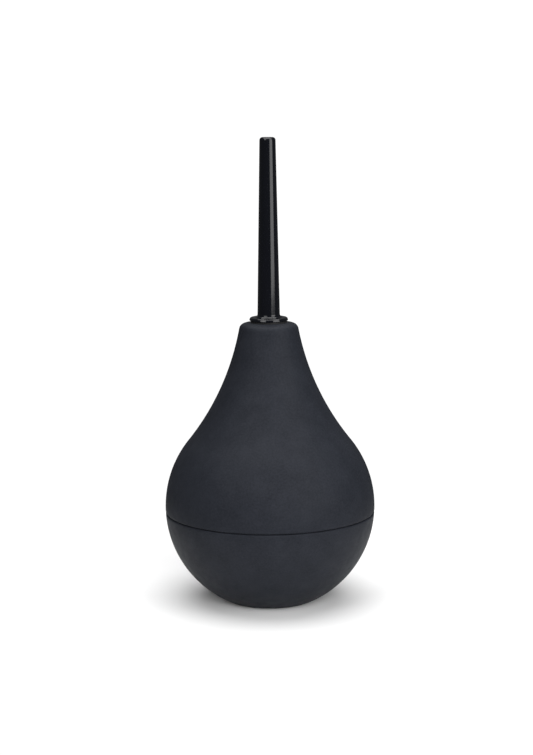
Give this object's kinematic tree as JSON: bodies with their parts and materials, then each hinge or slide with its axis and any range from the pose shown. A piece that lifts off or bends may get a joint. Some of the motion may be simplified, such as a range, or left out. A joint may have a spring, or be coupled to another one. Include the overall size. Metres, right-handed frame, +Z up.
{
  "type": "dust blower bulb",
  "caption": "Round squeeze bulb on a flat foot, with a long tapered screw-in nozzle and one-way valves, for blowing dust off small parts.",
  "frame": {"origin": "middle of the foot ring, on the surface the bulb stands on", "axes": "+Z up the bulb's own axis, towards the tip of the nozzle"},
  "size_m": [0.064, 0.064, 0.1411],
  "materials": {
    "bulb_silicone": "matte, fine moulded grain",
    "nozzle_plastic": "polished black",
    "seal_rubber": "matte",
    "socket_plastic": "satin",
    "seat_plastic": "satin, natural white",
    "ball_plastic": "ground and polished",
    "inlet_plastic": "satin",
    "disc_silicone": "matte, translucent natural"
  },
  "bodies": {
    "bulb": {"upper_bulb": "bulb_silicone", "lower_bulb": "bulb_silicone", "neck_socket": "socket_plastic", "outlet_seat": "seat_plastic"},
    "seal": {"nozzle_seal": "seal_rubber"},
    "nozzle": {"nozzle": "nozzle_plastic"},
    "outlet_ball": {"outlet_ball": "ball_plastic"},
    "inlet": {"inlet_seat": "inlet_plastic", "inlet_cage": "inlet_plastic"},
    "inlet_disc": {"inlet_disc": "disc_silicone"}
  },
  "joints": [
    {"name": "nozzle_rise", "type": "slide", "parent": "bulb", "child": "seal", "axis": [0, 0, 1], "range_m": [0, 0.01]},
    {"name": "nozzle_turn", "type": "hinge", "parent": "seal", "child": "nozzle", "pos_m": [0, 0, 0.08621], "axis": [0, 0, 1], "range_deg": [0, 1818]},
    {"name": "squeeze", "type": "slide", "parent": "bulb", "child": "inlet", "axis": [0, 0, 1], "range_m": [0, 0.01], "stiffness_N_per_m": 1200, "deforming": ["lower_bulb"]},
    {"name": "outlet_ball_lift", "type": "slide", "parent": "bulb", "child": "outlet_ball", "axis": [0, 0, 1], "range_m": [0, 0.0012]},
    {"name": "inlet_disc_lift", "type": "slide", "parent": "inlet", "child": "inlet_disc", "axis": [0, 0, 1], "range_m": [0, 0.001]}
  ],
  "couplings": [
    {"joint": "nozzle_turn", "follows": "nozzle_rise", "rad_per_m": 3141.6}
  ]
}
